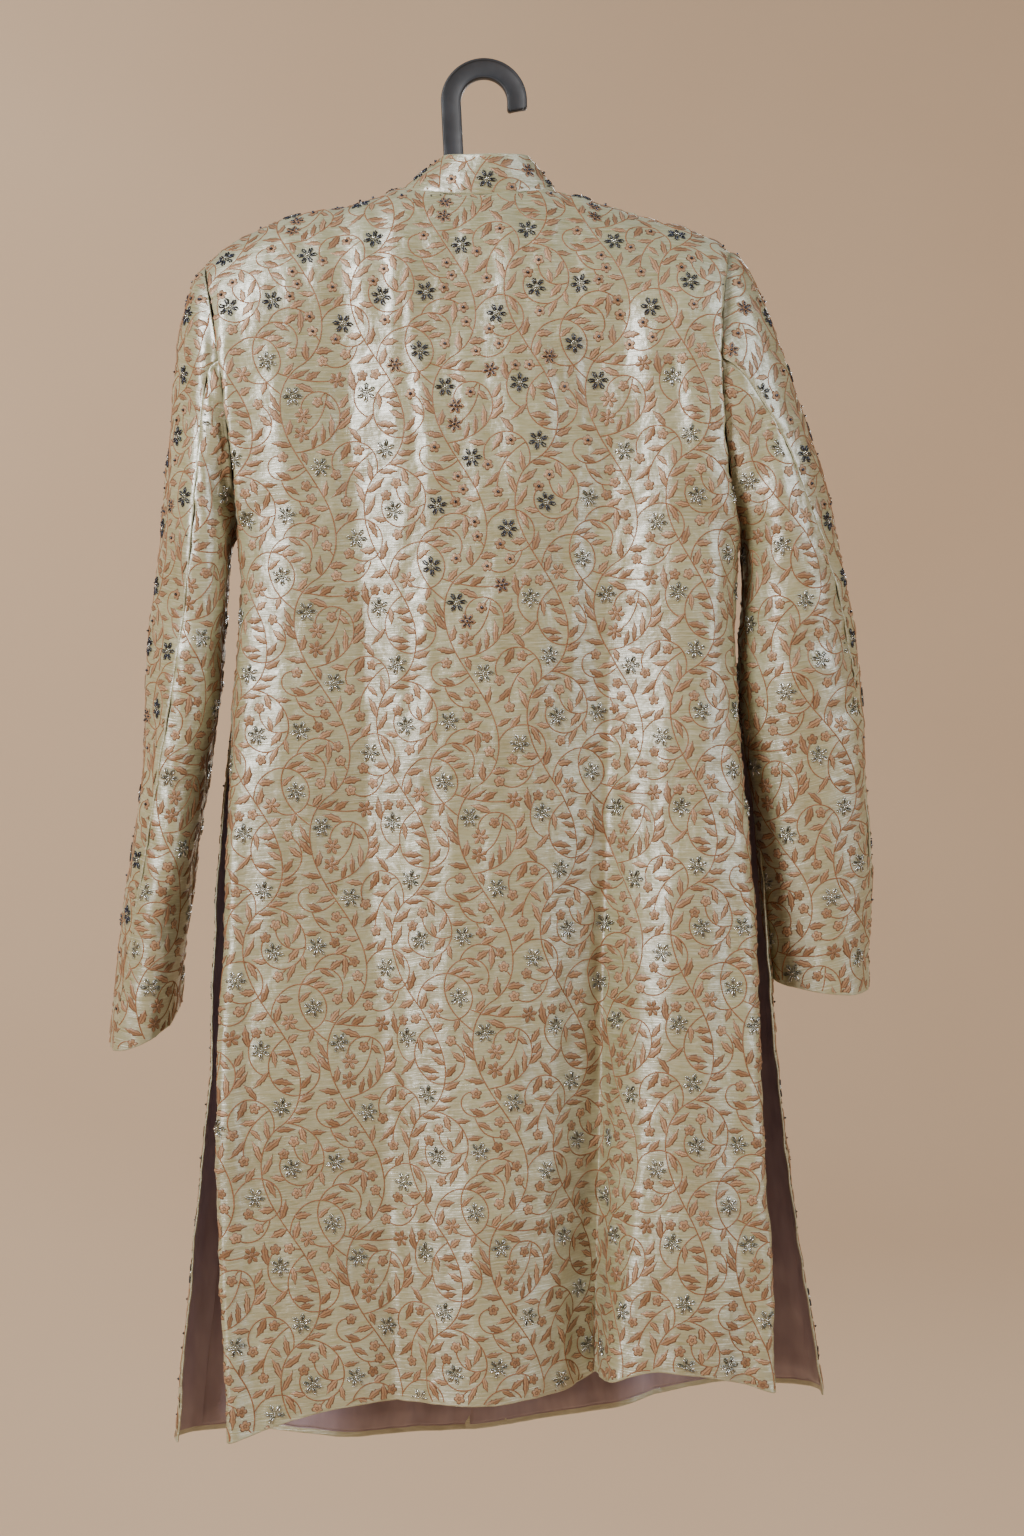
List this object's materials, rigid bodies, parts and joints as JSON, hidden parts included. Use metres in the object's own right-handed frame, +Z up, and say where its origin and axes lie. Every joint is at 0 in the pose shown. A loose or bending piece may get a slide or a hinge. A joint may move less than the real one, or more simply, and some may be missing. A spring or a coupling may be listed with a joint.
{
  "type": "sherwani coat on hanger",
  "caption": "Knee-length stand-collar sherwani coat in embroidered silk, with side slits and long sleeves, hanging on a moulded plastic hanger.",
  "frame": {"origin": "inside top of the hanger's hook, where it hangs", "axes": "+Z up, -Y out of the coat's back, +X towards the wearer's right"},
  "size_m": [0.6721, 0.172, 1.2153],
  "materials": {
    "embroidered_silk": "raw silk with a soft sheen, embroidered with vines and beads",
    "lining_satin": "smooth satin lining",
    "covered_button": "covered in the coat's silk",
    "hanger_plastic": "satin moulded plastic"
  },
  "bodies": {
    "root": {"back": "embroidered_silk", "front_left": "embroidered_silk", "front_right": "embroidered_silk", "collar": "embroidered_silk", "left_under_sleeve": "embroidered_silk", "left_top_sleeve_cuff": "embroidered_silk", "left_top_sleeve_elbow": "embroidered_silk", "left_top_sleeve_head": "embroidered_silk", "right_under_sleeve": "embroidered_silk", "right_top_sleeve_cuff": "embroidered_silk", "right_top_sleeve_elbow": "embroidered_silk", "right_top_sleeve_head": "embroidered_silk", "front_left_lining": "lining_satin", "front_right_lining": "lining_satin", "button_1": "covered_button", "button_2": "covered_button", "button_3": "covered_button", "button_4": "covered_button", "button_5": "covered_button", "button_6": "covered_button", "button_7": "covered_button", "hanger_hook": "hanger_plastic", "hanger_arms": "hanger_plastic"}
  },
  "joints": []
}
